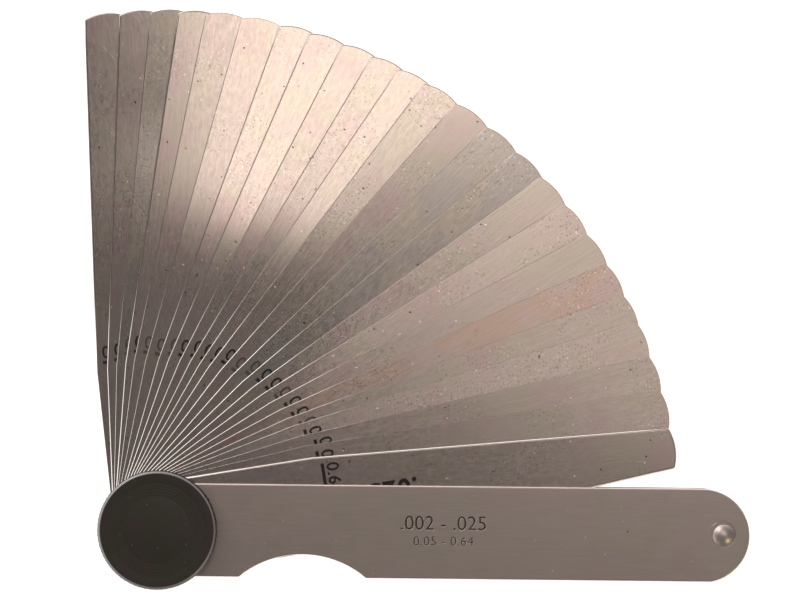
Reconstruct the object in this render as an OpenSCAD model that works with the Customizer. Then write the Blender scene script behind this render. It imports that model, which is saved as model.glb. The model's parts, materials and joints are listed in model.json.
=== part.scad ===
// Feeler gauge: a fan of tapered steel leaves between two side plates. The leaves turn
// on one stud, and a knurled lock nut on the front squeezes the stack to hold them.
// Frame: the stud's axis is Z, the case runs along +X, the leaves open towards +Y, and
// the flat rear head of the stud lies in the plane Z = 0.

/* [Leaves] */
// Distance from the stud's axis to the tip of a leaf
leaf_reach = 70.3; // [60:0.1:72]
// Width of the parallel part of a leaf
leaf_w = 12.7; // [12:0.1:14]
// Distance from the stud's axis to the start of the taper
taper_start = 21.9; // [15:0.1:30]
// Angle between a tapered edge and the leaf's centre line
taper_angle = 4.3; // [3:0.1:5]
// Radius of the arc across the tip
tip_arc_r = 7.2; // [6:0.1:12]
// Radius that rounds each corner of the tip
tip_corner_r = 0.5; // [0.3:0.1:0.8]
// Free space between one leaf and the next
leaf_gap = 0.02; // [0.01:0.01:0.05]

/* [Case] */
// Distance from the stud's axis to the far end of the case
case_reach = 79.3; // [78:0.1:85]
// Width of a side plate
plate_w = 12.5; // [11:0.1:13]
// Thickness of a side plate
plate_t = 0.8; // [0.6:0.1:1.2]
// How far the round far end is set below the centre line, which leaves a faint corner
// where it meets the lower edge
end_drop = 0.06; // [0.01:0.01:0.1]
// Radius of the thumb notch in the lower edge
notch_r = 13.2; // [10:0.1:15]
// Depth of the thumb notch
notch_depth = 3.1; // [1:0.1:3.4]
// Distance from the stud's axis to the middle of the thumb notch
notch_x = 19.4; // [16:0.1:40]

/* [Stud] */
// Radius of the shank on which the leaves turn
stud_r = 2.5; // [2:0.1:3]
// Radius of the threaded end
thread_r = 2; // [1.5:0.1:1.9]
// Length of the threaded end inside the nut
thread_len = 2.8; // [2:0.1:2.8]
// Radius of the rear head
head_r = 6.2; // [5:0.1:7]
// Thickness of the rear head
head_t = 0.8; // [0.6:0.1:1.2]
// Radial clearance of a leaf on the shank, and of the nut on the threaded end
running_fit = 0.05; // [0.02:0.01:0.1]

/* [Lock nut] */
// Outer radius over the knurling
nut_r = 8; // [7.5:0.05:9]
// Height of the nut
nut_h = 4; // [3.4:0.1:5]
// Width of the chamfer round each rim
nut_chamfer = 0.5; // [0.2:0.05:0.6]
// Radius of the friction washer
washer_r = 7.4; // [6:0.1:7.5]
// Thickness of the friction washer
washer_t = 0.3; // [0.2:0.1:0.6]

/* [End rivet] */
// Distance from the stud's axis to the rivet
rivet_x = 75.8; // [75:0.1:76]
// Radius of the rivet's shank
rivet_r = 0.9; // [0.7:0.1:1]
// Radius of the domed front head
dome_r = 1.45; // [1.2:0.05:1.5]
// Height of the domed front head above the plate
dome_h = 0.5; // [0.3:0.05:0.8]
// Radius of the flat rear head
rivet_head_r = 1.8; // [1.5:0.1:2]
// Radius of the shallow counterbore round the front head
ring_r = 1.75; // [1.75:0.05:1.9]
// How far the counterbore is off the rivet's centre, back along the case and up
ring_offset = 0.2; // [0:0.05:0.2]
// Depth of the counterbore
ring_depth = 0.12; // [0.05:0.01:0.3]
// Outer radius of the spacer between the plates
spacer_r = 2.2; // [1.8:0.1:2.4]

/* [Hidden] */
// Each leaf from front to rear: its thickness in thousandths of an inch and the angle
// in degrees that it stands open at. The thickest leaf is in front to guard the others.
LEAVES = [
    [25, 9.6], [2, 13.9], [3, 17.8], [4, 22], [5, 25.2], [6, 29.1],
    [7, 33], [8, 37.1], [9, 41.1], [10, 45], [11, 49.2], [12, 53.5],
    [13, 57.6], [14, 60.9], [15, 64.2], [16, 67.7], [17, 71.6], [18, 75],
    [19, 79.3], [20, 83.3], [21, 86.4], [22, 89.5], [23, 93], [24, 96.9]
];
thou = 0.0254;
last = len(LEAVES) - 1;
function leaf_name(k) = str("leaf_0", LEAVES[k][0] < 10 ? "0" : "", LEAVES[k][0]);
function leaf_t(k) = LEAVES[k][0] * thou;
// Height of a leaf's lower face above the rear plate
function leaf_rise(k) = k == last ? leaf_gap : leaf_rise(k + 1) + leaf_t(k + 1) + leaf_gap;

$fn = 96;
cut = 1;
steel = [0.46, 0.42, 0.38];
bright_steel = [0.62, 0.57, 0.52];
dark_steel = [0.14, 0.13, 0.13];

stack_z = head_t + plate_t;
stack_h = leaf_rise(0) + leaf_t(0) + leaf_gap;
front_z = stack_z + stack_h;
washer_z = front_z + plate_t;
nut_z = washer_z + washer_t;
// The shank stops short of the front face, so that the nut presses on the plate
shank_gap = 0.15;
shank_top = washer_z - shank_gap;
// The counterbore is off centre by less upwards than along the case
ring_rise = 0.75 * ring_offset;

// A disc with a chamfer of the given width round the rims that are asked for
module chamfered_disc(r, h, c, lower = false) {
    rotate_extrude()
        polygon(concat(
            [[0, 0]],
            lower ? [[r - c, 0], [r, c]] : [[r, 0]],
            [[r, h - c], [r - c, h], [0, h]]
        ));
}

// Outline of a leaf: a round pivot end, parallel edges, a taper and an arced tip whose
// corner circles touch both the taper and the arc
module leaf_outline() {
    half = leaf_w / 2;
    arc_x = leaf_reach - tip_arc_r;
    edge_x = sin(taper_angle);
    edge_y = cos(taper_angle);
    edge_reach = edge_x * (taper_start - arc_x) + edge_y * half;
    corner_path = tip_arc_r - tip_corner_r;
    corner_at = asin((edge_reach - tip_corner_r) / corner_path) - taper_angle;
    corner = [arc_x + corner_path * cos(corner_at), corner_path * sin(corner_at)];
    touch = corner + tip_corner_r * [edge_x, edge_y];
    arc_end = [arc_x + tip_arc_r * cos(corner_at), tip_arc_r * sin(corner_at)];
    circle(r = half);
    polygon([
        [0, -half], [taper_start, -half], [touch.x, -touch.y], [corner.x, -corner.y],
        [corner.x, corner.y], touch, [taper_start, half], [0, half]
    ]);
    intersection() {
        translate([arc_x, 0]) circle(r = tip_arc_r);
        polygon([
            [corner.x - cut, -corner.y + cut / 2], [corner.x, -corner.y], [arc_end.x, -arc_end.y],
            [leaf_reach + cut, -arc_end.y], [leaf_reach + cut, arc_end.y], arc_end,
            corner, [corner.x - cut, corner.y - cut / 2]
        ]);
    }
    for (side = [-1, 1]) translate([corner.x, side * corner.y]) circle(r = tip_corner_r);
}

module leaf(k) {
    color(bright_steel)
        rotate([0, 0, LEAVES[k][1]])
            translate([0, 0, stack_z + leaf_rise(k)])
                linear_extrude(leaf_t(k))
                    difference() {
                        leaf_outline();
                        circle(r = stud_r + running_fit);
                    }
}

// Outline of a side plate: round at the stud, a rounder far end that runs smoothly into
// the upper edge, and a thumb notch in the lower edge
module plate_outline() {
    half = plate_w / 2;
    end_r = half + end_drop;
    end_x = case_reach - end_r;
    difference() {
        union() {
            circle(r = half);
            translate([0, -half]) square([end_x, plate_w]);
            intersection() {
                translate([end_x, -end_drop]) circle(r = end_r);
                translate([end_x - cut, -half]) square([end_r + 2 * cut, plate_w]);
            }
        }
        translate([notch_x, -half + notch_depth - notch_r]) circle(r = notch_r);
    }
}

module front_plate() {
    color(steel)
        difference() {
            translate([0, 0, front_z]) linear_extrude(plate_t) plate_outline();
            translate([0, 0, front_z - cut]) cylinder(r = stud_r + running_fit, h = plate_t + 2 * cut);
            translate([rivet_x, 0, front_z - cut]) cylinder(r = rivet_r, h = plate_t + 2 * cut);
            translate([rivet_x - ring_offset, ring_rise, washer_z - ring_depth])
                cylinder(r = ring_r, h = cut);
        }
}

module rear_plate() {
    color(steel)
        difference() {
            translate([0, 0, head_t]) linear_extrude(plate_t) plate_outline();
            translate([0, 0, head_t - cut]) cylinder(r = stud_r, h = plate_t + 2 * cut);
            translate([rivet_x, 0, head_t - cut]) cylinder(r = rivet_r, h = plate_t + 2 * cut);
        }
}

// The stud: a thin flat head behind the rear plate, a plain shank through the plates and
// the leaves, and a thinner threaded end for the nut
module pivot_stud() {
    chamfer = 0.25;
    color(steel) {
        mirror([0, 0, 1]) translate([0, 0, -head_t]) chamfered_disc(head_r, head_t, chamfer);
        translate([0, 0, head_t - chamfer]) cylinder(r = stud_r, h = shank_top - head_t + chamfer);
        translate([0, 0, shank_top - chamfer])
            chamfered_disc(thread_r, nut_z - shank_top + thread_len + chamfer, chamfer);
    }
}

// The rivet at the far end: a low dome in front and a flat head as tall as the stud's
module end_rivet() {
    ball_r = (dome_r * dome_r + dome_h * dome_h) / (2 * dome_h);
    dome_z = washer_z - ring_depth;
    chamfer = 0.2;
    color(bright_steel)
        translate([rivet_x, 0, 0]) {
            mirror([0, 0, 1]) translate([0, 0, -head_t]) chamfered_disc(rivet_head_r, head_t, chamfer);
            translate([0, 0, head_t / 2]) cylinder(r = rivet_r, h = washer_z - head_t / 2);
            translate([0, 0, dome_z]) cylinder(r = dome_r, h = ring_depth);
            translate([0, 0, washer_z])
                intersection() {
                    translate([0, 0, dome_h - ball_r]) sphere(r = ball_r);
                    cylinder(r = dome_r + cut, h = dome_h + cut);
                }
        }
}

// The spacer that keeps the far ends of the plates as far apart as the leaves are tall
module rivet_spacer() {
    color(steel)
        translate([rivet_x, 0, stack_z])
            difference() {
                cylinder(r = spacer_r, h = stack_h);
                translate([0, 0, -cut]) cylinder(r = rivet_r, h = stack_h + 2 * cut);
            }
}

module friction_washer() {
    color(dark_steel)
        translate([0, 0, washer_z])
            difference() {
                cylinder(r = washer_r, h = washer_t);
                translate([0, 0, -cut]) cylinder(r = thread_r + running_fit, h = washer_t + 2 * cut);
            }
}

// The lock nut, with a hole for the stud's threaded end that doesn't reach its front face
module lock_nut() {
    end_room = 0.2;
    color(dark_steel)
        translate([0, 0, nut_z])
            difference() {
                chamfered_disc(nut_r, nut_h, nut_chamfer, lower = true);
                translate([0, 0, -cut])
                    cylinder(r = thread_r + running_fit, h = thread_len + end_room + cut);
            }
}

front_plate();
rear_plate();
pivot_stud();
end_rivet();
rivet_spacer();
friction_washer();
lock_nut();
for (k = [0:last])
    leaf(k);
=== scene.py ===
"""Looks of a fanned feeler gauge: satin steel plates, ground steel leaves, a knurled nut."""
import json
import math
import random

import bmesh
import bpy
from mathutils import Matrix, Vector


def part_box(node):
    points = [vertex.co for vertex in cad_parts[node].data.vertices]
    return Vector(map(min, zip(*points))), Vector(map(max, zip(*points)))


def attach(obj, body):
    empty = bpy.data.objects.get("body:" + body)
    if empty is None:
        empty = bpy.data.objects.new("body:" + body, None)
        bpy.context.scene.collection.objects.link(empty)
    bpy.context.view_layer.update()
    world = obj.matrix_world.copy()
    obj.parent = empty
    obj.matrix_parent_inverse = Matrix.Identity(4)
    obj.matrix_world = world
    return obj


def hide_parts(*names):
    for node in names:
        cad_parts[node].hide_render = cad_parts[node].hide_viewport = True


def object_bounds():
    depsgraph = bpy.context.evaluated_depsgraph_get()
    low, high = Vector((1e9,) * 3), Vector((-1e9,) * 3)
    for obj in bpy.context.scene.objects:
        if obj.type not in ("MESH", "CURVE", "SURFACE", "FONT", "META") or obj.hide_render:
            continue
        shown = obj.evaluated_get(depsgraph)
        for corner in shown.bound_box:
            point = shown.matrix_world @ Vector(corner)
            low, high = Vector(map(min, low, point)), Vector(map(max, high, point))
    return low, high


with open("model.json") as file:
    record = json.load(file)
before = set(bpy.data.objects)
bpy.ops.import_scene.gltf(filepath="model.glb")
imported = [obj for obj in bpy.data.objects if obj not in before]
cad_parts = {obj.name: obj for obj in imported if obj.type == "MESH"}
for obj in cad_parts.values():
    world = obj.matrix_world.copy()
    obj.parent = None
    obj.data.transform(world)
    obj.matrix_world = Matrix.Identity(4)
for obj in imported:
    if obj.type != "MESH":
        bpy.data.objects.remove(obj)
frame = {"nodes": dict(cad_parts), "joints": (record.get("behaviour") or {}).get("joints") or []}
cad_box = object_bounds()

MM = 0.001
INCH_MM = 25.4

# ---------------------------------------------------------------- what the frame says

LEAVES = sorted(
    (name for name in frame["nodes"] if name.startswith("leaf_")),
    key=lambda name: -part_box(name)[1].z,
)
TURN = {joint["child"]: joint for joint in frame["joints"]}
PLATE_LOW, PLATE_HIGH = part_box("front_plate")
NUT_LOW, NUT_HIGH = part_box("lock_nut")
NUT_CHAMFER = 0.45 * MM
PLATE_HALF = (PLATE_HIGH.y - PLATE_LOW.y) / 2


def opening_angle(leaf):
    """The angle in degrees that a leaf stands open at, which its joint's lower limit undoes."""
    return -TURN[leaf]["range_deg"][0]


def thousandths(leaf):
    return int(leaf.split("_")[1])


# ---------------------------------------------------------------- shader helpers


def add(tree, kind, inputs=None, **settings):
    """A new node with its settings made and its inputs linked or given a value."""
    node = tree.nodes.new(kind)
    for key, value in settings.items():
        setattr(node, key, value)
    for key, value in (inputs or {}).items():
        if isinstance(value, bpy.types.NodeSocket):
            tree.links.new(value, node.inputs[key])
        else:
            node.inputs[key].default_value = value
    return node


def maths(tree, operation, *values):
    return add(tree, "ShaderNodeMath", dict(enumerate(values)), operation=operation).outputs[0]


def total(tree, *values):
    """The sum of several sockets or numbers."""
    result = values[0]
    for value in values[1:]:
        result = maths(tree, "ADD", result, value)
    return result


def fade(tree, value, low, high, at_low=0.0, at_high=1.0):
    """A smooth change from at_low to at_high as value goes from low to high."""
    inputs = {0: value, 1: low, 2: high, 3: at_low, 4: at_high}
    return add(tree, "ShaderNodeMapRange", inputs, interpolation_type="SMOOTHSTEP").outputs[0]


def blend_colour(tree, factor, one, two):
    node = add(tree, "ShaderNodeMix", {0: factor, 6: one, 7: two}, data_type="RGBA")
    return node.outputs[2]


def tinted(tree, colour, mask, share, tint):
    """The colour, with the tint laid over it where the mask is 1, as strongly as share says."""
    return blend_colour(tree, maths(tree, "MULTIPLY", mask, share), colour, tint)


def turned_by(tree, vector, turn, shift=0.0):
    """The vector, turned about Z in degrees and shifted by as much along X as along Y."""
    inputs = {"Vector": vector, "Location": (shift, shift, 0)}
    inputs["Rotation"] = (0, 0, math.radians(turn))
    return add(tree, "ShaderNodeMapping", inputs).outputs[0]


def stretched(tree, vector, scale):
    return add(tree, "ShaderNodeMapping", {"Vector": vector, "Scale": scale}).outputs[0]


def noise(tree, vector, scale, detail=2.0, rough=0.5, warp=0.0):
    inputs = {"Vector": vector, "Scale": scale, "Detail": detail}
    inputs |= {"Roughness": rough, "Distortion": warp}
    return add(tree, "ShaderNodeTexNoise", inputs).outputs[0]


def specks(tree, vector, scale, size, share):
    """Spots seen along Z, of about a given radius in millimetres, in a share of the cells of a
    Voronoi pattern."""
    inputs = {"Vector": vector, "Scale": scale, "Randomness": 1.0}
    cells = add(tree, "ShaderNodeTexVoronoi", inputs, voronoi_dimensions="2D")
    pick = add(tree, "ShaderNodeSeparateColor", {0: cells.outputs["Color"]})
    radius = maths(tree, "MULTIPLY_ADD", pick.outputs[1], 1.2 * size * scale, 0.4 * size * scale)
    near = maths(tree, "DIVIDE", cells.outputs["Distance"], radius)
    spot = fade(tree, near, 0.4, 1.0, 1.0, 0.0)
    chosen = maths(tree, "LESS_THAN", pick.outputs[0], share)
    return maths(tree, "MULTIPLY", spot, chosen)


def scratches(tree, vector, turn, seed, share):
    """Fine straight scratches that all run about the same way."""
    here = turned_by(tree, vector, turn, seed)
    lines = noise(tree, stretched(tree, here, (0.05, 6, 1)), 1.0, 1.0)
    elsewhere = turned_by(tree, vector, turn, seed + 40)
    patches = noise(tree, stretched(tree, elsewhere, (0.15, 0.3, 1)), 1.0, 1.0)
    thin = fade(tree, lines, 0.70 - 0.05 * share, 0.76 - 0.05 * share)
    return maths(tree, "MULTIPLY", thin, fade(tree, patches, 0.48, 0.60))


def new_material(name):
    material = bpy.data.materials.new(name)
    material.use_nodes = True
    material.node_tree.nodes.clear()
    return material, material.node_tree


def finish_metal(tree, colour, rough, normal, metallic=1.0):
    inputs = {"Base Color": colour, "Metallic": metallic, "Roughness": rough, "Normal": normal}
    shader = add(tree, "ShaderNodeBsdfPrincipled", inputs)
    add(tree, "ShaderNodeOutputMaterial", {"Surface": shader.outputs[0]})


def millimetres(tree):
    """A place on the piece in the frame's own directions, in millimetres."""
    place = add(tree, "ShaderNodeTexCoord").outputs["Object"]
    return add(tree, "ShaderNodeMapping", {"Vector": place, "Scale": (1 / MM,) * 3}).outputs[0]


def bump(tree, height, depth_mm, normal=None):
    """A normal for a surface that a height of 1 raises by depth_mm."""
    inputs = {"Height": height, "Distance": depth_mm * MM, "Strength": 1.0}
    if normal is not None:
        inputs["Normal"] = normal
    return add(tree, "ShaderNodeBump", inputs).outputs[0]


def leaning(tree, normal, lean):
    """The normal leant over by a small vector given in the object's own directions."""
    turned = add(
        tree,
        "ShaderNodeVectorTransform",
        {0: lean},
        vector_type="VECTOR",
        convert_from="OBJECT",
        convert_to="WORLD",
    ).outputs[0]
    leant = add(tree, "ShaderNodeVectorMath", {0: normal, 1: turned}, operation="ADD").outputs[0]
    return add(tree, "ShaderNodeVectorMath", {0: leant}, operation="NORMALIZE").outputs[0]


# ---------------------------------------------------------------- materials

LEAF_COLOUR = (0.62, 0.530, 0.480, 1)
LEAF_STAIN = (0.60, 0.535, 0.455, 1)
PINK_TINT = (0.62, 0.500, 0.465, 1)
COPPER_TINT = (0.62, 0.480, 0.405, 1)
GREY_TINT = (0.55, 0.500, 0.460, 1)
COPPERY_LEAF = "leaf_006"
GREY_LEAVES = ("leaf_010", "leaf_011", "leaf_022")
CASE_COLOUR = (0.60, 0.515, 0.470, 1)
CASE_STAIN = (0.575, 0.51, 0.445, 1)
CASE_PINK = (0.595, 0.50, 0.465, 1)
PAINTED_BEND_SHADING = (0.62, 0.49, 0.47, 1)
PAINTED_CASE_HIGHLIGHT = (0.90, 0.82, 0.79, 1)
PAINTED_GROOVE_SHADE = (0.07, 0.055, 0.05, 1)
BLACK_STEEL = (0.075, 0.056, 0.054, 1)
OLIVE_STEEL = (0.064, 0.060, 0.046, 1)
WORN_STEEL = (0.55, 0.53, 0.54, 1)
PALE_DUST = (0.30, 0.28, 0.26, 1)
INK = (0.012, 0.010, 0.010, 1)
THIN_INK = (0.16, 0.135, 0.12, 1)

# What lies on ground steel: dirt in its grain, dark flecks, pits and scratches, and bright
# glints, which are painted highlights.
GRAIN_DIRT = (0.30, 0.26, 0.23, 1)
FLECK = (0.25, 0.20, 0.18, 1)
GLINT = (0.95, 0.90, 0.86, 1)
PIT = (0.06, 0.05, 0.045, 1)
SCRATCH = (0.90, 0.86, 0.80, 1)
MARK_DEPTH = 0.003

# The edges of a leaf are painted bright near the stud, a painted highlight, and painted dark
# further out, a painted shadow where they shade the next leaf, and plain again round the tip.
# Each change takes place between two distances from the stud, in millimetres. The front leaf's
# edges keep the painted highlight up to its tip.
PAINTED_EDGE_HIGHLIGHT = (0.90, 0.85, 0.82, 1)
PAINTED_EDGE_SHADE = (0.20, 0.165, 0.15, 1)
TIP_EDGE = (0.56, 0.50, 0.47, 1)
EDGE_SHADE_BEGINS = (24, 34)
TIP_STARTS = (66, 69)

# How far a leaf bows, in degrees: BOW, plus or minus OWN_BOW at random, and up to MIDDLE_BOW
# more if it stands open at an angle near BOW_MIDDLE. Leaves below LOW_END degrees bow up to
# LOW_BOW more, and those near FLATTER_MIDDLE up to FLATTER less. The front leaf is stiffer.
BOW = 2.2
OWN_BOW = 0.6
MIDDLE_BOW = 2.6
BOW_MIDDLE = 74
BOW_SPREAD = 13
LOW_BOW = 0.8
LOW_END = 45
LOW_SPREAD = 15
FLATTER = 1.0
FLATTER_MIDDLE = 48
FLATTER_SPREAD = 5
FRONT_BOW = 1.5

# Where a bow starts, in millimetres from the stud: further out the more a leaf stands open,
# but neither below nor above a limit. It is full BOW_LENGTH further on. Leaves more open than
# STRAIGHT_TIPS degrees straighten out again before their tips, to TIP_BOW of their bow.
START_PER_DEGREE = 0.8
START_OFFSET = -16
START_LEAST = 3
START_MOST = 29
BOW_LENGTH = 22
STRAIGHT_TIPS = 89
STRAIGHTENS = (50, 60)
TIP_BOW = 0.4

# The part of the front plate that holds the engraving, in millimetres, and the depths below
# its face between which an engraved stroke is painted dark, as painted shade in the groove.
ENGRAVED_MIDDLE = 38
ENGRAVED_WIDTH = 14
ENGRAVED_HEIGHT = 6
GROOVE_SHADE_STARTS = 0.006
GROOVE_SHADE_FULL = 0.03

# How wide a band along each edge of a side plate is painted pinker, as painted shading of a
# rounded bend, in millimetres.
BEND_SHADING_BAND = 1.3


def steel_look(tree, place, tints, depths, rough, pitting):
    """Colour, roughness and normal of ground steel with its grain along X. place is in
    millimetres. tints are the clean, stained and pink colours, depths are those of the
    dimples and the grain in millimetres, rough is the lowest and highest roughness, and
    pitting is how many pits and flecks there are, from 0 to 1/3."""
    clean, stained, pink = tints
    grain = noise(tree, stretched(tree, place, (0.22, 6, 6)), 1.0, 3.0, 0.6)
    dimples = noise(tree, stretched(tree, place, (1.1, 2.4, 1)), 1.0, 2.0, 0.5, 0.3)
    patches = fade(tree, noise(tree, place, 0.09, 1.0), 0.40, 0.62)
    flecked = maths(tree, "MULTIPLY", patches, 3 * pitting)
    flecks = specks(tree, turned_by(tree, place, 15, 8.0), 2.2, 0.13, 0.45)
    glints = specks(tree, turned_by(tree, place, 50, 3.0), 1.6, 0.11, 0.30)
    stains = noise(tree, place, 0.13, 2.0, 0.5, 0.4)
    blush = noise(tree, turned_by(tree, place, 40, 60.0), 0.17, 2.0)
    pale = specks(tree, place, 0.42, 0.10, 0.25)
    pits = specks(tree, turned_by(tree, place, 20, 5.0), 0.36, 0.13, pitting)
    marks = total(
        tree,
        scratches(tree, place, 6, 3.0, random.random()),
        scratches(tree, place, -35, 11.0, random.random() * 0.3),
    )

    colour = blend_colour(tree, fade(tree, stains, 0.45, 0.60), clean, stained)
    colour = blend_colour(tree, fade(tree, blush, 0.50, 0.66), colour, pink)
    colour = tinted(tree, colour, fade(tree, grain, 0.3, 0.7), 0.16, GRAIN_DIRT)
    colour = tinted(tree, colour, maths(tree, "MULTIPLY", flecks, flecked), 0.42, FLECK)
    # Glints and pale specks are painted highlights in the colour; the pale specks are also raised
    # by the bump below.
    colour = tinted(tree, colour, maths(tree, "MULTIPLY", glints, flecked), 0.40, GLINT)
    colour = tinted(tree, colour, pale, 0.8, GLINT)
    colour = tinted(tree, colour, pits, 0.8, PIT)
    colour = tinted(tree, colour, marks, 0.12, SCRATCH)

    low, high = rough
    spread = fade(tree, dimples, 0.3, 0.7, low, high)
    dimple_depth, grain_depth = depths
    normal = bump(tree, dimples, dimple_depth)
    normal = bump(tree, grain, grain_depth, normal)
    sunk = total(tree, pits, maths(tree, "MULTIPLY", marks, 0.25))
    normal = bump(tree, maths(tree, "SUBTRACT", pale, sunk), MARK_DEPTH, normal)
    return colour, spread, normal


def edge_faces(tree):
    """1 on the sides and rounded edges of a flat piece, 0 on its faces."""
    facing = add(tree, "ShaderNodeNewGeometry").outputs["Normal"]
    upright = add(tree, "ShaderNodeSeparateXYZ", {0: facing}).outputs[2]
    return fade(tree, maths(tree, "ABSOLUTE", upright), 0.90, 0.985, 1.0, 0.0)


def leaf_bow(angle):
    """How far a leaf that stands open at this angle bows, in degrees."""
    middle = math.exp(-(((angle - BOW_MIDDLE) / BOW_SPREAD) ** 2))
    low = max(0, min(1, (LOW_END - angle) / LOW_SPREAD))
    flatter = math.exp(-(((angle - FLATTER_MIDDLE) / FLATTER_SPREAD) ** 2))
    own = random.uniform(-OWN_BOW, OWN_BOW)
    return BOW + MIDDLE_BOW * middle + LOW_BOW * low - FLATTER * flatter + own


def leaf_material(leaf, seed):
    """Ground spring steel. A thin leaf isn't quite flat, so its surface leans a little towards
    its tip."""
    material, tree = new_material("steel_" + leaf)
    angle = opening_angle(leaf)
    front = leaf == LEAVES[0]
    place = turned_by(tree, millimetres(tree), -angle)
    own = turned_by(tree, place, 0, seed * 37.0)
    along = add(tree, "ShaderNodeSeparateXYZ", {0: place}).outputs[0]

    tints = (LEAF_COLOUR, LEAF_STAIN, PINK_TINT)
    if leaf == COPPERY_LEAF:
        tints = (COPPER_TINT, PINK_TINT, COPPER_TINT)
    elif leaf in GREY_LEAVES:
        tints = (GREY_TINT, LEAF_STAIN, GREY_TINT)
    colour, rough, normal = steel_look(
        tree, own, tints, depths=(0.0004, 0.0004), rough=(0.17, 0.21), pitting=0.32
    )

    # Painted light on the edges: a painted highlight near the stud, painted shade further out.
    edge_shade_share = 0.0 if front else fade(tree, along, *EDGE_SHADE_BEGINS)
    edge_highlight_and_shade = blend_colour(tree, edge_shade_share, PAINTED_EDGE_HIGHLIGHT, PAINTED_EDGE_SHADE)
    edge_highlight_and_shade = blend_colour(tree, fade(tree, along, *TIP_STARTS), edge_highlight_and_shade, TIP_EDGE)
    colour = blend_colour(tree, edge_faces(tree), colour, edge_highlight_and_shade)

    start = min(max(START_PER_DEGREE * angle + START_OFFSET, START_LEAST), START_MOST)
    most = FRONT_BOW if front else leaf_bow(angle)
    bow = fade(tree, along, start, start + BOW_LENGTH, random.uniform(-0.3, 0.1), most)
    if angle > STRAIGHT_TIPS:
        bow = maths(tree, "MULTIPLY", bow, fade(tree, along, *STRAIGHTENS, 1.0, TIP_BOW))
    lean = maths(tree, "MULTIPLY", bow, math.radians(1))
    heading = (math.cos(math.radians(angle)), math.sin(math.radians(angle)), 0)
    inputs = {0: heading, "Scale": lean}
    lean = add(tree, "ShaderNodeVectorMath", inputs, operation="SCALE").outputs[0]
    finish_metal(tree, colour, rough, leaning(tree, normal, lean))
    return material


def groove_shade_mask(tree, place):
    """Painted shade in recesses: nearly 1 below the front plate's face within the engraving's area,
    which takes in the engraved strokes, 0 elsewhere.
    """
    x, y, z = add(tree, "ShaderNodeSeparateXYZ", {0: place}).outputs
    top = PLATE_HIGH.z / MM
    deep = fade(tree, z, top - GROOVE_SHADE_FULL, top - GROOVE_SHADE_STARTS, 0.9, 0.0)
    off_x = maths(tree, "ABSOLUTE", maths(tree, "SUBTRACT", x, ENGRAVED_MIDDLE))
    inside_x = maths(tree, "LESS_THAN", off_x, ENGRAVED_WIDTH / 2)
    inside_y = maths(tree, "LESS_THAN", maths(tree, "ABSOLUTE", y), ENGRAVED_HEIGHT / 2)
    return maths(tree, "MULTIPLY", deep, maths(tree, "MULTIPLY", inside_x, inside_y))


def case_material():
    """Satin plate steel: painted highlights on its edges, and a pinker band of painted bend shading
    along them.
    """
    material, tree = new_material("case_steel")
    place = millimetres(tree)
    across = add(tree, "ShaderNodeSeparateXYZ", {0: place}).outputs[1]
    tints = (CASE_COLOUR, CASE_STAIN, CASE_PINK)
    colour, rough, normal = steel_look(
        tree, place, tints, depths=(0.0010, 0.0005), rough=(0.32, 0.36), pitting=0.03
    )
    half = PLATE_HALF / MM
    # A pinker band along each edge of a plate: painted shading of a rounded bend.
    bend_shading_mask = fade(tree, maths(tree, "ABSOLUTE", across), half - BEND_SHADING_BAND, half)
    colour = tinted(tree, colour, bend_shading_mask, 0.75, PAINTED_BEND_SHADING)
    # The edges and sides of the plates are painted bright: a painted highlight.
    colour = blend_colour(tree, edge_faces(tree), colour, PAINTED_CASE_HIGHLIGHT)
    # The engraved strokes are painted dark: painted shade in the grooves.
    colour = blend_colour(tree, groove_shade_mask(tree, place), colour, PAINTED_GROOVE_SHADE)
    finish_metal(tree, colour, rough, normal)
    return material


def nut_material():
    """Black-oxide steel: fine turning rings on the face, worn pale along its upper chamfer."""
    material, tree = new_material("blackened_steel")
    place = millimetres(tree)
    inputs = {0: place, 1: (1, 1, 0)}
    flat = add(tree, "ShaderNodeVectorMath", inputs, operation="MULTIPLY").outputs[0]
    radius = add(tree, "ShaderNodeVectorMath", {0: flat}, operation="LENGTH").outputs["Value"]
    rings = add(tree, "ShaderNodeCombineXYZ", {0: radius}).outputs[0]
    turned = noise(tree, rings, 3.0, 3.0, 0.7)
    tints = noise(tree, place, 0.22, 2.0, 0.6)
    pale = specks(tree, place, 0.55, 0.10, 0.4)
    colour = blend_colour(tree, fade(tree, tints, 0.4, 0.6), BLACK_STEEL, OLIVE_STEEL)
    colour = tinted(tree, colour, pale, 0.4, PALE_DUST)
    height = add(tree, "ShaderNodeSeparateXYZ", {0: place}).outputs[2]
    rim = (NUT_HIGH.x - NUT_CHAMFER) / MM
    top = NUT_HIGH.z / MM
    outside = fade(tree, radius, rim, rim + 0.1, 0.0, 0.7)
    worn = maths(tree, "MULTIPLY", outside, fade(tree, height, top - 0.26, top - 0.16))
    crests = fade(tree, radius, NUT_HIGH.x / MM - 0.05, NUT_HIGH.x / MM, 0.0, 0.12)
    colour = blend_colour(tree, maths(tree, "MAXIMUM", worn, crests), colour, WORN_STEEL)
    rough = fade(tree, turned, 0.3, 0.7, 0.34, 0.44)
    normal = bump(tree, turned, 0.006)
    normal = bump(tree, noise(tree, place, 2.2, 3.0), 0.003, normal)
    finish_metal(tree, colour, rough, normal, metallic=0.5)
    return material


def turned_material(name, tint, rough_low, rough_high, stained):
    """Plain turned or domed steel with small stains."""
    material, tree = new_material(name)
    place = millimetres(tree)
    stains = noise(tree, place, 0.7, 3.0, 0.6)
    fine = noise(tree, place, 9.0, 2.0)
    dark = tuple(0.6 * part for part in tint[:3]) + (1,)
    colour = tinted(tree, tint, fade(tree, stains, 0.45, 0.7), stained, dark)
    rough = fade(tree, stains, 0.3, 0.7, rough_low, rough_high)
    finish_metal(tree, colour, rough, bump(tree, fine, 0.002))
    return material


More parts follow.
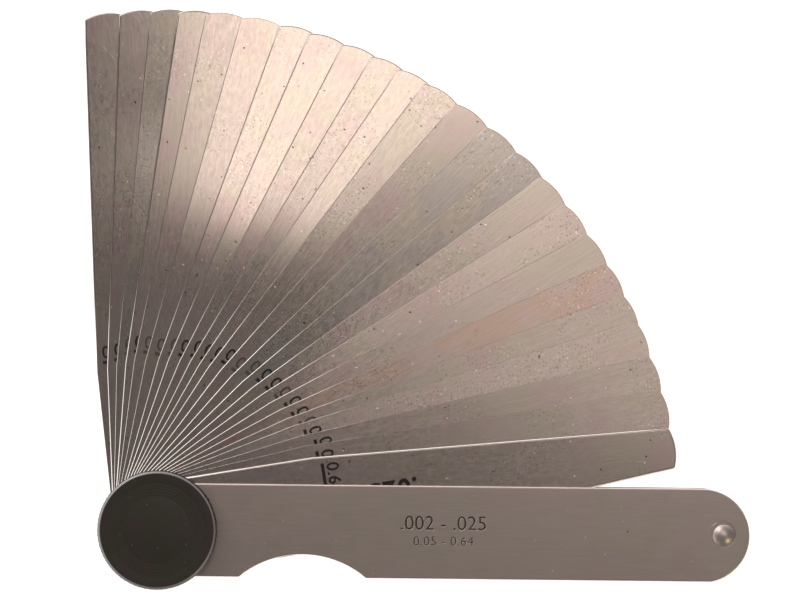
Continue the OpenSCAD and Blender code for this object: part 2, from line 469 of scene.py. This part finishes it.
def ink_material(name, wear):
    """The black of an etched mark, thin enough in places for the steel to grey it."""
    material, tree = new_material(name)
    place = millimetres(tree)
    thin = noise(tree, place, 3.5, 3.0, 0.6)
    grey = fade(tree, thin, 0.5, 0.75, wear, 0.6 + 0.4 * wear)
    colour = blend_colour(tree, grey, INK, THIN_INK)
    rough = fade(tree, thin, 0.3, 0.7, 0.55, 0.75)
    finish_metal(tree, colour, rough, bump(tree, thin, 0.002), metallic=0.2)
    return material


# ---------------------------------------------------------------- shapes

# Edges that bend more than CORNER degrees are rounded, and afterwards those that still bend
# more than STEEP_EDGE are shaded as sharp.
CORNER = 50
STEEP_EDGE = 40

# How far the edges are rounded: the plates' by PLATE_ROUND, the leaves' by a share of their
# thickness, up to a limit, and those of the counterbore round the end rivet by a share.
PLATE_ROUND = 0.34 * MM
LEAF_ROUND_SHARE = 0.46
LEAF_ROUND_MOST = 0.29 * MM
COUNTERBORE_SHARE = 0.28
COUNTERBORE_REACH = 2.5 * MM

# The knurl and the turned face of the nut, and the blind hole for the stud. The rings on the
# face get smaller by RING_STEP, from the largest.
KNURL_TEETH = 68
KNURL_DEPTH = 0.20 * MM
RING_COUNT = 5
RING_LARGEST = 6.2 * MM
RING_STEP = 0.4 * MM
RING_HALF_WIDTH = 0.14 * MM
RING_DEPTH = 0.016 * MM
HOLE_RADIUS = 2.05 * MM
HOLE_DEPTH = 3.0 * MM

# The size marks on a leaf: how high their letters are, how much bolder than the plain font,
# where they start on a leaf that lies along X, and the bar under the millimetres.
MM_MARK_HEIGHT = 1.65 * MM
MM_MARK_BOLDER = 0.03 * MM
MM_MARK_START = (23.9 * MM, 5.3 * MM)
INCH_MARK_HEIGHT = 2.5 * MM
INCH_MARK_BOLDER = 0.10 * MM
INCH_MARK_START = (35.6 * MM, 1.5 * MM)
BAR_LOW = Vector((0, -0.78, 0)) * MM
BAR_HIGH = Vector((9.0, -0.34, 0.005)) * MM
MARK_LIFT = 0.002 * MM
MARK_HALF_THICKNESS = 0.0025 * MM

# The two lines engraved in the front plate: height of the digits, where they start, and how
# wide and deep the sloping sides of a stroke are. Outlines are drawn in by SLOPE_INSET of that.
INCH_LINE_HEIGHT = 1.9 * MM
INCH_LINE_START = (32.4 * MM, 0.35 * MM)
INCH_LINE_SLOPE = 0.06 * MM
MM_LINE_HEIGHT = 1.25 * MM
MM_LINE_START = (34.2 * MM, -1.75 * MM)
MM_LINE_SLOPE = 0.04 * MM
SLOPE_INSET = 0.6

# Height of the font's digits, as a share of its size.
DIGIT_SHARE = 0.7


def new_object(name, vertices, faces, sharp_deg=None):
    mesh = bpy.data.meshes.new(name)
    mesh.from_pydata(vertices, [], faces)
    mesh.update()
    if sharp_deg is not None:
        mesh.shade_smooth()
        mesh.set_sharp_from_angle(angle=math.radians(sharp_deg))
    piece = bpy.data.objects.new(name, mesh)
    bpy.context.scene.collection.objects.link(piece)
    return piece


def lathe(rings, columns):
    """Vertices and faces of a closed turned shape. A ring is (radius, height) or, where the
    radius changes round the ring, (function of the column, height). The first and last rings
    are closed by a fan to the axis."""
    vertices, faces = [], []
    for radius, height in rings:
        for column in range(columns):
            turn = 2 * math.pi * column / columns
            r = radius(column) if callable(radius) else radius
            vertices.append((r * math.cos(turn), r * math.sin(turn), height))
    for ring in range(len(rings) - 1):
        for column in range(columns):
            after = (column + 1) % columns
            a, b = ring * columns + column, ring * columns + after
            c, d = b + columns, a + columns
            if not (callable(rings[ring][0]) or callable(rings[ring + 1][0])):
                faces.append((a, b, c, d))
            elif (column + ring) % 2 == 0:
                faces += [(a, b, c), (a, c, d)]
            else:
                faces += [(a, b, d), (b, c, d)]
    for ring, height in ((0, rings[0][1]), (len(rings) - 1, rings[-1][1])):
        middle = len(vertices)
        vertices.append((0, 0, height))
        for column in range(columns):
            a, b = ring * columns + column, ring * columns + (column + 1) % columns
            faces.append((a, middle, b) if ring == 0 else (a, b, middle))
    return vertices, faces


def knurled_nut():
    """The lock nut: a diamond-knurled rim between two chamfers, a turned face with shallow
    rings, and the blind hole for the stud below."""
    outer = NUT_HIGH.x
    face = outer - NUT_CHAMFER
    low, high = NUT_LOW.z, NUT_HIGH.z
    row_step = math.pi * outer / KNURL_TEETH
    rim = high - low - 2 * NUT_CHAMFER
    rows = max(2, round(rim / row_step))

    rings = [(HOLE_RADIUS, low + HOLE_DEPTH), (HOLE_RADIUS, low), (face, low)]
    first = len(rings)
    for row in range(rows + 1):
        parity = (first + row) % 2
        rings.append((
            lambda column, parity=parity: outer - (column + parity + 1) % 2 * KNURL_DEPTH,
            low + NUT_CHAMFER + rim * row / rows,
        ))
    rings += [
        (outer - 0.16 * MM, high - 0.20 * MM),
        (face + 0.05 * MM, high - 0.02 * MM),
        (face, high),
    ]
    for number in range(RING_COUNT):
        radius = RING_LARGEST - number * RING_STEP
        rings += [
            (radius + RING_HALF_WIDTH, high),
            (radius, high - RING_DEPTH),
            (radius - RING_HALF_WIDTH, high),
        ]
    vertices, faces = lathe(rings, 2 * KNURL_TEETH)
    return new_object("knurled_nut", vertices, faces, sharp_deg=18)


def flat_text(words, height, bolder=0.0, spacing=1.0, slope=0.0):
    """A mesh of the words, from the origin along +X, with digits of a given height. It is
    thin, or as deep as its sloping sides are if those have a size."""
    curve = bpy.data.curves.new("words", "FONT")
    curve.body = words
    curve.size = height / DIGIT_SHARE
    curve.offset = bolder
    curve.space_character = spacing
    curve.resolution_u = 4
    curve.extrude = 0.0 if slope else MARK_HALF_THICKNESS
    curve.bevel_depth = slope
    curve.bevel_resolution = 0
    holder = bpy.data.objects.new("words", curve)
    bpy.context.scene.collection.objects.link(holder)
    bpy.context.view_layer.update()
    evaluated = holder.evaluated_get(bpy.context.evaluated_depsgraph_get())
    mesh = bpy.data.meshes.new_from_object(evaluated)
    bpy.data.objects.remove(holder)
    return mesh


def box_mesh(low, high):
    corners = [(x, y, z) for x in (low.x, high.x) for y in (low.y, high.y) for z in (low.z, high.z)]
    faces = [(0, 1, 3, 2), (4, 6, 7, 5), (0, 4, 5, 1), (2, 3, 7, 6), (0, 2, 6, 4), (1, 5, 7, 3)]
    mesh = bpy.data.meshes.new("bar")
    mesh.from_pydata(corners, [], faces)
    return mesh


def joined(name, parts):
    """One object made of several (mesh, matrix) pairs."""
    vertices, faces = [], []
    for mesh, place in parts:
        start = len(vertices)
        vertices += [tuple(place @ v.co) for v in mesh.vertices]
        faces += [tuple(start + i for i in p.vertices) for p in mesh.polygons]
    return new_object(name, vertices, faces)


def leaf_marks(leaf):
    """A leaf's thickness: in millimetres across the leaf over a bar, and in inches along it.
    Every leaf is marked by hand in a jig, so the marks lie a little off."""
    size_in = thousandths(leaf) / 1000
    metric = flat_text(f"{size_in * INCH_MM:.2f} mm", MM_MARK_HEIGHT, MM_MARK_BOLDER, 1.05)
    inches = flat_text(f"{size_in:.3f}".lstrip("0"), INCH_MARK_HEIGHT, INCH_MARK_BOLDER, 1.1)
    bar = box_mesh(BAR_LOW, BAR_HIGH)
    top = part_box(leaf)[1].z + MARK_LIFT
    leaf_turn = Matrix.Rotation(math.radians(opening_angle(leaf)), 4, "Z")
    play = random.uniform(-0.3, 0.3) * MM
    across = Matrix.Rotation(math.radians(random.uniform(-2, 2)) - math.pi / 2, 4, "Z")
    upside_down = Matrix.Rotation(math.pi, 4, "Z")
    x, y = MM_MARK_START
    first = leaf_turn @ Matrix.Translation((x + play, y, top)) @ across
    x, y = INCH_MARK_START
    second = leaf_turn @ Matrix.Translation((x + play, y, top)) @ upside_down
    return joined("marks_" + leaf, [(metric, first), (bar, first), (inches, second)])


def engraving_cutter():
    """A hidden shape that engraves the range of the leaves into the front plate."""
    sizes = sorted(thousandths(leaf) / 1000 for leaf in LEAVES)
    ends = (sizes[0], sizes[-1])
    inches = " - ".join(f"{size:.3f}".lstrip("0") for size in ends)
    metric = " - ".join(f"{size * INCH_MM:.2f}" for size in ends)
    height = PLATE_HIGH.z + 0.2 * MM_LINE_SLOPE
    lines = []
    for words, letter, spacing, slope, (x, y) in (
        (inches, INCH_LINE_HEIGHT, 1.0, INCH_LINE_SLOPE, INCH_LINE_START),
        (metric, MM_LINE_HEIGHT, 1.05, MM_LINE_SLOPE, MM_LINE_START),
    ):
        mesh = flat_text(words, letter, -SLOPE_INSET * slope, spacing, slope)
        lines.append((mesh, Matrix.Translation((x, y, height))))
    cutter = joined("engraving_cutter", lines)
    shape = bmesh.new()
    shape.from_mesh(cutter.data)
    bmesh.ops.remove_doubles(shape, verts=shape.verts, dist=0.001 * MM)
    bmesh.ops.recalc_face_normals(shape, faces=shape.faces)
    shape.to_mesh(cutter.data)
    shape.free()
    cutter.hide_render = True
    return cutter


def smooth_by_angle():
    """A geometry node group that shades a mesh smooth except across its steep edges."""
    group = bpy.data.node_groups.new("smooth_by_angle", "GeometryNodeTree")
    for way in ("INPUT", "OUTPUT"):
        group.interface.new_socket("Geometry", in_out=way, socket_type="NodeSocketGeometry")
    start = group.nodes.new("NodeGroupInput")
    faces = add(group, "GeometryNodeSetShadeSmooth", {"Geometry": start.outputs[0]}, domain="FACE")
    bend = add(group, "GeometryNodeInputMeshEdgeAngle").outputs["Unsigned Angle"]
    steep = maths(group, "GREATER_THAN", bend, math.radians(STEEP_EDGE))
    edges = add(
        group,
        "GeometryNodeSetShadeSmooth",
        {"Geometry": faces.outputs[0], "Selection": steep, "Shade Smooth": False},
        domain="EDGE",
    )
    end = group.nodes.new("NodeGroupOutput")
    group.links.new(edges.outputs[0], end.inputs[0])
    return group


def rounding_weights():
    """A geometry node group that sets how far the Bevel modifier rounds each edge: steep edges
    in full, but those of the counterbore round the end rivet only a little."""
    group = bpy.data.node_groups.new("rounding_weights", "GeometryNodeTree")
    for way in ("INPUT", "OUTPUT"):
        group.interface.new_socket("Geometry", in_out=way, socket_type="NodeSocketGeometry")
    start = group.nodes.new("NodeGroupInput")
    bend = add(group, "GeometryNodeInputMeshEdgeAngle").outputs["Unsigned Angle"]
    steep = maths(group, "GREATER_THAN", bend, math.radians(CORNER))
    low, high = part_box("end_rivet")
    rivet = ((low.x + high.x) / 2, (low.y + high.y) / 2, PLATE_HIGH.z)
    place = add(group, "GeometryNodeInputPosition").outputs[0]
    inputs = {0: place, 1: rivet}
    reach = add(group, "ShaderNodeVectorMath", inputs, operation="DISTANCE").outputs["Value"]
    inside, outside = COUNTERBORE_REACH - 0.1 * MM, COUNTERBORE_REACH + 0.1 * MM
    share = fade(group, reach, inside, outside, COUNTERBORE_SHARE, 1.0)
    store = add(
        group,
        "GeometryNodeStoreNamedAttribute",
        {
            "Geometry": start.outputs[0],
            "Name": "bevel_weight_edge",
            "Value": maths(group, "MULTIPLY", steep, share),
        },
        data_type="FLOAT",
        domain="EDGE",
    )
    end = group.nodes.new("NodeGroupOutput")
    group.links.new(store.outputs[0], end.inputs[0])
    return group


def soften(node, width, groups, cutter=None):
    """Welds the faces of a CAD node's mesh, rounds its sharp edges and engraves it."""
    weights, smooth = groups
    weld = node.modifiers.new("weld", "WELD")
    weld.merge_threshold = 0.015 * MM
    flats = node.modifiers.new("flats", "DECIMATE")
    flats.decimate_type = "DISSOLVE"
    flats.angle_limit = math.radians(0.5)
    node.modifiers.new("weights", "NODES").node_group = weights
    bevel = node.modifiers.new("round", "BEVEL")
    bevel.width = width
    bevel.segments = 3
    bevel.limit_method = "WEIGHT"
    bevel.loop_slide = False
    if cutter is not None:
        engrave = node.modifiers.new("engrave", "BOOLEAN")
        engrave.operation = "DIFFERENCE"
        engrave.solver = "EXACT"
        engrave.use_self = True
        engrave.object = cutter
    node.modifiers.new("smooth", "NODES").node_group = smooth
    node.modifiers.new("shade", "WEIGHTED_NORMAL").keep_sharp = True
    triangles = node.modifiers.new("triangles", "TRIANGULATE")
    triangles.quad_method = "BEAUTY"
    triangles.ngon_method = "BEAUTY"
    triangles.keep_custom_normals = True


def dress(piece, material):
    piece.data.materials.clear()
    piece.data.materials.append(material)


# ---------------------------------------------------------------- the gauge

# The share of the leaves, apart from the front one, whose size marks are worn.
WORN_SHARE = 0.3

random.seed(7)
ink = ink_material("etched_black", 0.0)
worn_ink = ink_material("worn_black", 0.55)
groups = (rounding_weights(), smooth_by_angle())
for number, leaf in enumerate(LEAVES):
    node = frame["nodes"][leaf]
    dress(node, leaf_material(leaf, number + 1))
    low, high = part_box(leaf)
    soften(node, min(LEAF_ROUND_SHARE * (high.z - low.z), LEAF_ROUND_MOST), groups)
    marks = leaf_marks(leaf)
    dress(marks, worn_ink if random.random() < WORN_SHARE and number > 0 else ink)
    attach(marks, leaf)

case_steel = case_material()
for name, cutter in (("front_plate", engraving_cutter()), ("rear_plate", None)):
    dress(frame["nodes"][name], case_steel)
    soften(frame["nodes"][name], PLATE_ROUND, groups, cutter)

# Name and colour of each material, its lowest and highest roughness, and how strong its
# stains are.
TURNED_PIECES = {
    "end_rivet": ("rivet_steel", (0.72, 0.63, 0.58, 1), 0.36, 0.40, 0.25),
    "pivot_stud": ("stud_steel", (0.50, 0.44, 0.40, 1), 0.28, 0.36, 0.7),
    "rivet_spacer": ("spacer_steel", (0.50, 0.44, 0.40, 1), 0.3, 0.4, 0.7),
    "friction_washer": ("washer_steel", (0.10, 0.09, 0.08, 1), 0.35, 0.45, 0.7),
}
for name, look in TURNED_PIECES.items():
    dress(frame["nodes"][name], turned_material(*look))

nut = knurled_nut()
dress(nut, nut_material())
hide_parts("lock_nut")
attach(nut, "lock_nut")

# ---------------------------------------------------------------- floor, light, camera

FLOOR_GAP = 0.2 * MM
FLOOR_HALF = 3.0
FLOOR_GLOW = 0.85

CEILING = (0.150, 0.141, 0.141, 1)
DIM_WALL = (0.22, 0.20, 0.20, 1)
BRIGHT_WALL = (2.0, 1.92, 1.86, 1)
BRIGHT_SIDE = (-0.80, 0.60, 0)

# Round lights: their direction from the gauge, as degrees about Z from +X and degrees from
# straight up, then their diameter in metres, their brightness and their colour.
LIGHT_DISTANCE = 0.6
LIGHTS = {
    "softbox": (82, 16, 0.18, 2.0, (1.0, 0.90, 0.83)),
    "second_softbox": (22, 17, 0.22, 0.72, (1.0, 0.90, 0.83)),
    "window": (127, 50, 0.40, 1.8, (1.0, 0.97, 0.95)),
    "lamp": (-47, 50, 0.13, 5.0, (1.0, 0.88, 0.42)),
}

# The camera is CAMERA_HEIGHT above CAMERA_FOOT, a place in the plane of the front plate's
# face, and looks at CAMERA_AIM. CAMERA_FIELD is the width that it shows there.
CAMERA_FOOT = (32.2 * MM, 17.0 * MM)
CAMERA_AIM = (32.1 * MM, 31.1 * MM)
CAMERA_HEIGHT = 0.80
CAMERA_FIELD = 107.2 * MM
CAMERA_ROLL_DEG = 0.2


def make_floor():
    """A pale floor, lit a little from below as on a light table, so that shadows stay faint."""
    material, tree = new_material("pale_floor")
    faint = noise(tree, millimetres(tree), 0.02, 2.0)
    colour = blend_colour(tree, faint, (0.93, 0.93, 0.93, 1), (0.90, 0.90, 0.90, 1))
    shader = add(tree, "ShaderNodeBsdfPrincipled", {"Base Color": colour, "Roughness": 0.9})
    shader.inputs["Emission Color"].default_value = (1, 1, 1, 1)
    shader.inputs["Emission Strength"].default_value = FLOOR_GLOW
    add(tree, "ShaderNodeOutputMaterial", {"Surface": shader.outputs[0]})
    h = FLOOR_HALF
    corners = [(-h, -h, -FLOOR_GAP), (h, -h, -FLOOR_GAP), (h, h, -FLOOR_GAP), (-h, h, -FLOOR_GAP)]
    floor = new_object("floor", corners, [(0, 1, 2, 3)])
    dress(floor, material)


def make_world():
    """A room with a dim ceiling, which is what flat steel seen from above reflects, a brighter
    band along the horizon, and the brightest walls on the left and behind."""
    world = bpy.data.worlds.new("studio")
    world.use_nodes = True
    tree = world.node_tree
    tree.nodes.clear()
    direction = add(tree, "ShaderNodeTexCoord").outputs["Generated"]
    height = add(tree, "ShaderNodeSeparateXYZ", {0: direction}).outputs[2]
    inputs = {0: direction, 1: BRIGHT_SIDE}
    side = add(tree, "ShaderNodeVectorMath", inputs, operation="DOT_PRODUCT").outputs["Value"]
    walls = blend_colour(tree, fade(tree, side, -0.5, 0.6), DIM_WALL, BRIGHT_WALL)
    colour = blend_colour(tree, fade(tree, height, 0.15, 0.48), walls, CEILING)
    background = add(tree, "ShaderNodeBackground", {0: colour})
    add(tree, "ShaderNodeOutputWorld", {0: background.outputs[0]})
    bpy.context.scene.world = world


def area_light(name, azimuth, off_zenith, size, radiance, colour):
    """A round light that faces the middle of the gauge from LIGHT_DISTANCE away."""
    flat = LIGHT_DISTANCE * math.sin(math.radians(off_zenith))
    turn = math.radians(azimuth)
    middle = (Vector(cad_box[0]) + Vector(cad_box[1])) / 2
    offset = Vector((flat * math.cos(turn), flat * math.sin(turn), 0))
    offset.z = LIGHT_DISTANCE * math.cos(math.radians(off_zenith))
    data = bpy.data.lights.new(name, "AREA")
    data.shape = "DISK"
    data.size = size
    data.energy = radiance * math.pi * math.pi * size**2 / 4
    data.color = colour
    light = bpy.data.objects.new(name, data)
    light.location = middle + offset
    light.rotation_euler = (-offset).to_track_quat("-Z", "Y").to_euler()
    bpy.context.scene.collection.objects.link(light)


def make_camera():
    """Nearly straight down from well above, so that the front plate hides the rear one."""
    aim = Vector((*CAMERA_AIM, PLATE_HIGH.z))
    data = bpy.data.cameras.new("camera")
    data.sensor_width = 36.0
    data.lens = data.sensor_width * CAMERA_HEIGHT / CAMERA_FIELD
    data.clip_start = 0.01
    data.clip_end = 10
    camera = bpy.data.objects.new("camera", data)
    camera.location = Vector((*CAMERA_FOOT, PLATE_HIGH.z + CAMERA_HEIGHT))
    level = (aim - camera.location).to_track_quat("-Z", "Y").to_matrix().to_4x4()
    roll = Matrix.Rotation(math.radians(CAMERA_ROLL_DEG), 4, "Z")
    camera.matrix_world = Matrix.Translation(camera.location) @ level @ roll
    bpy.context.scene.collection.objects.link(camera)
    bpy.context.scene.camera = camera


make_floor()
make_world()
make_camera()
for name, placing in LIGHTS.items():
    area_light(name, *placing)
bpy.context.scene.view_settings.view_transform = "Standard"
